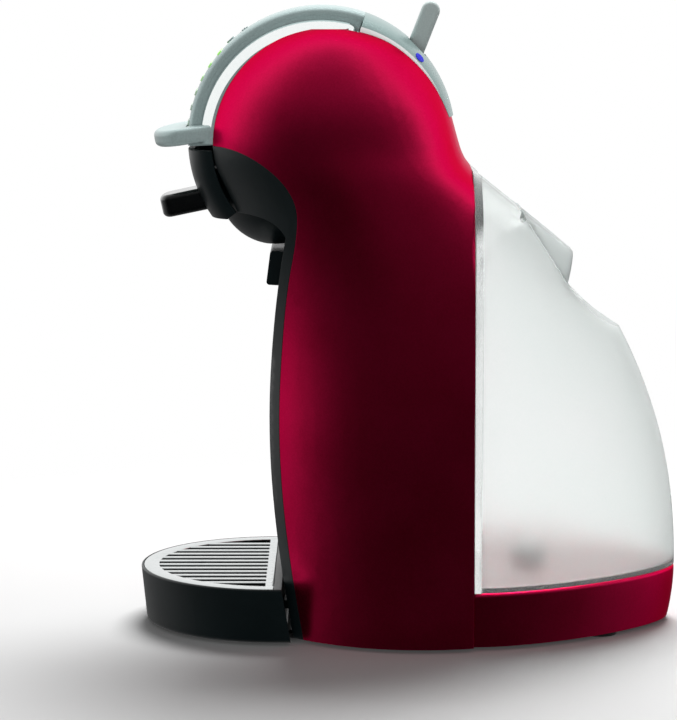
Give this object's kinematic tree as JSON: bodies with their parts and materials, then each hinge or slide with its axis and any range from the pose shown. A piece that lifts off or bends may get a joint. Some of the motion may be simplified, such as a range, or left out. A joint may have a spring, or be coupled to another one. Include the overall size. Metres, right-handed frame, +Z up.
{
  "type": "pod coffee machine",
  "caption": "Upright pod coffee machine with a round head, silver arch and locking handle, slide-in pod holder, lift-off rear water tank and drip tray.",
  "frame": {"origin": "on the worktop, under the middle of the machine's overall box", "axes": "+Z up, +Y towards the water tank at the rear, X across the machine"},
  "size_m": [0.1562, 0.2519, 0.2906],
  "materials": {
    "red_shell": "satin metallic lacquer",
    "black_plastic": "satin",
    "silver_plastic": "satin metallic lacquer",
    "grey_plastic": "matte",
    "frosted_plastic": "frosted translucent",
    "green_light": "lit",
    "blue_mark": "gloss",
    "red_mark": "gloss",
    "steel": "brushed",
    "black_rubber": "matte",
    "brass": "drawn",
    "cast_aluminium": "cast",
    "board_green": "satin",
    "clear_hose": "silicone",
    "chrome": "polished"
  },
  "bodies": {
    "machine": {"right_side_shell": "red_shell", "left_side_shell": "red_shell", "tank_seat": "red_shell", "front_housing": "black_plastic", "tray_hanger": "black_plastic", "head_frame": "silver_plastic", "brew_chassis": "black_plastic", "arch": "silver_plastic", "arch_tail": "silver_plastic", "level_lights": "green_light", "cold_mark": "blue_mark", "hot_mark": "red_mark", "wheel_axle": "steel", "button_switch": "black_plastic", "guide_posts": "steel", "lever_pin": "steel", "selector_valve": "grey_plastic", "feed_tube": "steel", "tank_socket": "black_plastic", "socket_seal": "black_rubber", "cable_gland": "black_rubber", "base_plate": "black_plastic", "rubber_feet": "black_rubber", "rear_wall": "grey_plastic", "pump_coil": "black_plastic", "pump_barrel": "brass", "pump_mounts": "black_rubber", "thermoblock": "cast_aluminium", "thermostats": "steel", "control_board": "board_green", "inlet_hose": "clear_hose", "pressure_hose": "clear_hose", "hot_hose": "clear_hose"},
    "handle": {"locking_handle": "silver_plastic", "lock_crank": "steel"},
    "injector": {"injector_carriage": "black_plastic", "injector_needle": "steel", "injector_seal": "black_rubber"},
    "holder": {"pod_holder": "black_plastic", "holder_cover": "black_plastic", "holder_handle": "black_plastic"},
    "lever": {"selector_lever": "silver_plastic"},
    "wheel": {"setting_wheel": "silver_plastic"},
    "button": {"power_button": "silver_plastic"},
    "tank": {"water_tank": "frosted_plastic", "tank_valve": "grey_plastic", "lid_pin": "steel"},
    "lid": {"tank_lid": "frosted_plastic"},
    "tray": {"drip_tray": "black_plastic"},
    "grid": {"drip_grid": "chrome"}
  },
  "joints": [
    {"name": "handle_hinge", "type": "hinge", "parent": "machine", "child": "handle", "pos_m": [0, -0.02841, 0.27737], "axis": [-1, 0, 0], "range_deg": [0, 50]},
    {"name": "injector_slide", "type": "slide", "parent": "machine", "child": "injector", "axis": [0, 0, 1], "range_m": [0, 0.0085]},
    {"name": "holder_slide", "type": "slide", "parent": "machine", "child": "holder", "axis": [0, -1, 0], "range_m": [0, 0.072]},
    {"name": "lever_swing", "type": "hinge", "parent": "machine", "child": "lever", "pos_m": [0, -0.00509, 0.24843], "axis": [0, 0.9304, -0.3665], "range_deg": [-16, 16]},
    {"name": "wheel_spin", "type": "hinge", "parent": "machine", "child": "wheel", "pos_m": [0, -0.07377, 0.27451], "axis": [1, 0, 0], "continuous": true},
    {"name": "button_press", "type": "slide", "parent": "machine", "child": "button", "axis": [0, 0.6769, -0.7361], "range_m": [0, 0.001], "stiffness_N_per_m": 400},
    {"name": "tank_lift", "type": "slide", "parent": "machine", "child": "tank", "axis": [0, 0, 1], "range_m": [0, 0.08]},
    {"name": "lid_hinge", "type": "hinge", "parent": "tank", "child": "lid", "pos_m": [0, 0.05095, 0.19356], "axis": [1, 0, 0], "range_deg": [0, 75]},
    {"name": "tray_slide", "type": "slide", "parent": "machine", "child": "tray", "axis": [0, -1, 0], "range_m": [0, 0.08]},
    {"name": "grid_lift", "type": "slide", "parent": "tray", "child": "grid", "axis": [0, 0, 1], "range_m": [0, 0.03]}
  ],
  "couplings": [
    {"joint": "injector_slide", "follows": "handle_hinge", "m_per_rad": 0.009686}
  ]
}
